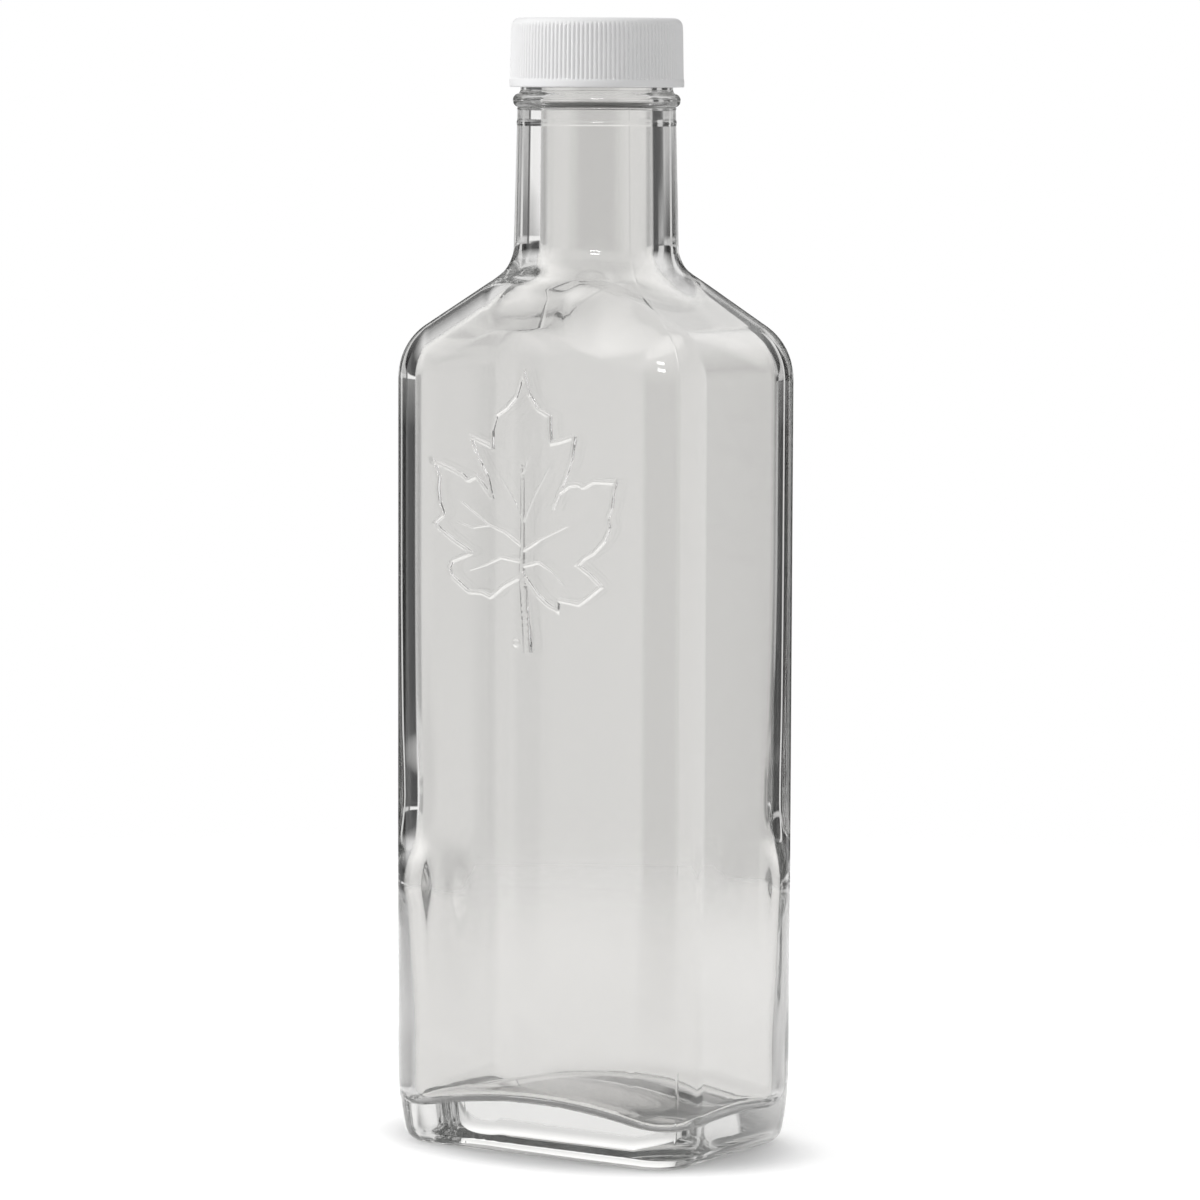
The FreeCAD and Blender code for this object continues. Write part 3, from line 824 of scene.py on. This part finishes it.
def by_side(tree, share, levels):
    """The light from each place round the object, for levels at degrees from the camera's side."""
    stops = [(degrees / 360 + 0.5, light / ROUND_PEAK) for degrees, light in levels]
    return product(tree, ramp_node(tree, share, stops), ROUND_PEAK)


def by_rise(tree, height, levels):
    """The light from each height, for levels at degrees over the horizon."""
    stops = [(0.5 + 0.5 * math.sin(math.radians(degrees)), light) for degrees, light in levels]
    return ramp_node(tree, height, stops)


def above(tree, height, ends):
    """From 0 at one angle over the horizon to 1 at another, in degrees."""
    return by_rise(tree, height, [(ends[0], 0.0), (ends[1], 1.0)])


def trapped_painted_glow(tree, place, away, past_painted_shadow):
    """Painted light for trapped rays: a grey floor glow, a painted shadow under the foot, the studio's cards
    farther out.
    """
    near_level = climb(tree, away, *TRAPPED_DIMS, *TRAPPED_LEVELS)
    cards = by_side(tree, share_round(tree, place), CARDS_ROUND)
    shown = blend(tree, climb(tree, away, *TRAPPED_CARDS, kind="SMOOTHSTEP"), near_level, cards)
    # painted shadow: trapped rays meet a low glow under the foot
    return blend(tree, past_painted_shadow, TRAPPED_PAINTED_SHADOW, shown)


def floor_material():
    """White to the camera, with the shadow kept and a painted shadow round the foot, and fading into the
    backdrop at its rim.
    """
    material, tree = new_material("studio_floor")
    output = add(tree, "ShaderNodeOutputMaterial")
    seen, bent, _, trapped = ray_kinds(tree)
    place = add(tree, "ShaderNodeTexCoord").outputs["Object"]
    away = vector_node(tree, "LENGTH", place)
    by_foot = vector_node(tree, "MULTIPLY", place, (1 / HALF_WIDTH / MM, 1 / HALF_DEPTH / MM, 0))
    from_foot = vector_node(tree, "LENGTH", by_foot)
    # painted shadow: this share is 0 round the foot and 1 farther out, and sets the floor's painted shadow
    past_painted_shadow = climb(tree, from_foot, PAINTED_SHADOW_FROM, PAINTED_SHADOW_TO, kind="SMOOTHSTEP")

    white = add(tree, "ShaderNodeBsdfDiffuse")
    # painted shadow: the floor is less white round the foot
    link(tree, (blend(tree, past_painted_shadow, PAINTED_SHADOW_WHITE, GROUND_WHITE), white.inputs["Color"]))
    # painted shadow: the floor glows less round the foot
    lit = math_node(tree, "MULTIPLY_ADD", past_painted_shadow, GROUND_GLOW - PAINTED_SHADOW_GLOW, PAINTED_SHADOW_GLOW)
    covered = math_node(tree, "SUBTRACT", 1.0, past_painted_shadow)
    # painted light: a glow under the foot for bent rays, in place of the light that the glass lets through
    lit = math_node(tree, "ADD", lit, product(tree, bent, covered, PAINTED_LIGHT_UNDER_GLASS))
    glow = add(tree, "ShaderNodeEmission")
    both = add(tree, "ShaderNodeAddShader")
    link(tree, (product(tree, seen, lit), glow.inputs["Strength"]),
         (white.outputs[0], both.inputs[0]),
         (glow.outputs[0], both.inputs[1]))

    dim = add(tree, "ShaderNodeEmission")
    # painted light: the floor glows for rays trapped in the glass instead of being lit
    link(tree, (trapped_painted_glow(tree, place, away, past_painted_shadow), dim.inputs["Strength"]))
    surface = mix_shaders(tree, trapped, both.outputs[0], dim.outputs[0])
    fade = climb(tree, away, GROUND_FADES, GROUND_REACH, kind="SMOOTHSTEP")
    clear = add(tree, "ShaderNodeBsdfTransparent")
    link(tree, (mix_shaders(tree, fade, surface, clear.outputs[0]), output.inputs["Surface"]))
    return material


def build_floor():
    """A round floor just under the foot."""
    turns = np.radians(np.arange(0, 360, 3))
    rim = np.stack([GROUND_REACH * np.cos(turns), GROUND_REACH * np.sin(turns), 0 * turns], axis=-1)
    mesh = bpy.data.meshes.new("floor")
    mesh.from_pydata(rim.tolist(), [], [list(range(len(turns)))])
    floor = place_mesh("floor", mesh, floor_material())
    floor.location.z = -GROUND_DROP


def mirrored_studio(tree, share, height, trapped):
    """What mirrored rays meet: tents, cards, and a lamp that rays trapped in the glass don't meet."""
    cards, strip = by_side(tree, share, CARDS_ROUND), by_side(tree, share, STRIP_ROUND)
    around = LEVEL_BELOW
    for ends, light in ((CARDS_START, cards), (STRIP_START, strip), (STRIP_END, cards),
                        (OVERHEAD_START, LEVEL_OVERHEAD)):
        around = blend(tree, above(tree, height, ends), around, light)
    lamp = product(tree, by_side(tree, share, LAMP_ROUND), by_rise(tree, height, LAMP_RISE),
                   math_node(tree, "SUBTRACT", 1.0, trapped), LAMP_LEVEL)
    return math_node(tree, "ADD", around, lamp)


def plain_studio(tree, share, height, seen, bent):
    """What other rays meet: white, with more light high up and less beside the backdrop for bent rays."""
    plain = math_node(tree, "MULTIPLY_ADD", seen, SEEN_LEVEL - LIGHTING_LEVEL, LIGHTING_LEVEL)
    plain = math_node(tree, "ADD", plain, product(tree, above(tree, height, LIFT_START), bent, LIFTED_LEVEL))
    by_horizon = math_node(tree, "SUBTRACT", above(tree, height, ASIDE_START), above(tree, height, ASIDE_END))
    aside = product(tree, by_side(tree, share, ASIDE_ROUND), by_horizon, bent)
    return math_node(tree, "SUBTRACT", plain, aside)


def build_world():
    """White behind the object; a studio with tents and cards for what the glass turns back."""
    world = bpy.data.worlds.new("studio")
    bpy.context.scene.world = world
    world.use_nodes = True
    tree = world.node_tree
    tree.nodes.clear()
    output = add(tree, "ShaderNodeOutputWorld")
    sky = add(tree, "ShaderNodeBackground", Color=(1, 1, 1, 1))
    toward = add(tree, "ShaderNodeTexCoord").outputs["Generated"]
    share = share_round(tree, toward)
    height = math_node(tree, "MULTIPLY_ADD", vector_node(tree, "DOT_PRODUCT", toward, (0, 0, 1)), 0.5, 0.5)
    seen, bent, mirrored, trapped = ray_kinds(tree)

    around = mirrored_studio(tree, share, height, trapped)
    plain = plain_studio(tree, share, height, seen, bent)
    link(tree, (blend(tree, mirrored, plain, around), sky.inputs["Strength"]),
         (sky.outputs[0], output.inputs["Surface"]))


def area_lamp(name, place, target, size, power):
    """A round lamp that looks at a target and that the glass doesn't show."""
    lamp = bpy.data.lights.new(name, "AREA")
    lamp.shape, lamp.size, lamp.energy = "DISK", size, power
    item = bpy.data.objects.new(name, lamp)
    item.location = place
    away = np.array(place) - np.array(target)
    tip, turn = math.acos(away[2] / np.linalg.norm(away)), math.atan2(away[1], away[0]) + math.pi / 2
    item.rotation_euler = (tip, 0, turn)
    item.visible_glossy = False
    item.visible_transmission = False
    bpy.context.scene.collection.objects.link(item)


def build_camera():
    """As high as the cap, between the broad face and the narrow face at its right, looking slightly down."""
    turn, tip, roll = math.radians(VIEW_TURN), math.radians(5.35), math.radians(0.212)
    away, aside, height = 965.6 * MM, 0.87 * MM, 185.1 * MM
    lens = bpy.data.cameras.new("camera")
    lens.sensor_width, lens.lens = 36.0, 168.2
    camera = bpy.data.objects.new("camera", lens)
    camera.location = (aside * math.cos(turn) + away * math.sin(turn),
                       aside * math.sin(turn) - away * math.cos(turn), height)
    camera.rotation_mode = "XYZ"
    camera.rotation_euler = (math.pi / 2 - tip, 0, turn)
    camera.rotation_euler.rotate_axis("Z", roll)
    bpy.context.scene.collection.objects.link(camera)
    bpy.context.scene.camera = camera


build_floor()
build_world()
area_lamp("key", place=(-0.9, -0.9, 1.0), target=(0, 0, 0.1), size=0.9, power=14.0)
build_camera()
bpy.context.scene.view_settings.view_transform = "Standard"
# light is turned back many times inside thick glass before it leaves
bpy.context.scene.cycles.max_bounces = 120
bpy.context.scene.cycles.glossy_bounces = 100
bpy.context.scene.cycles.transmission_bounces = 110
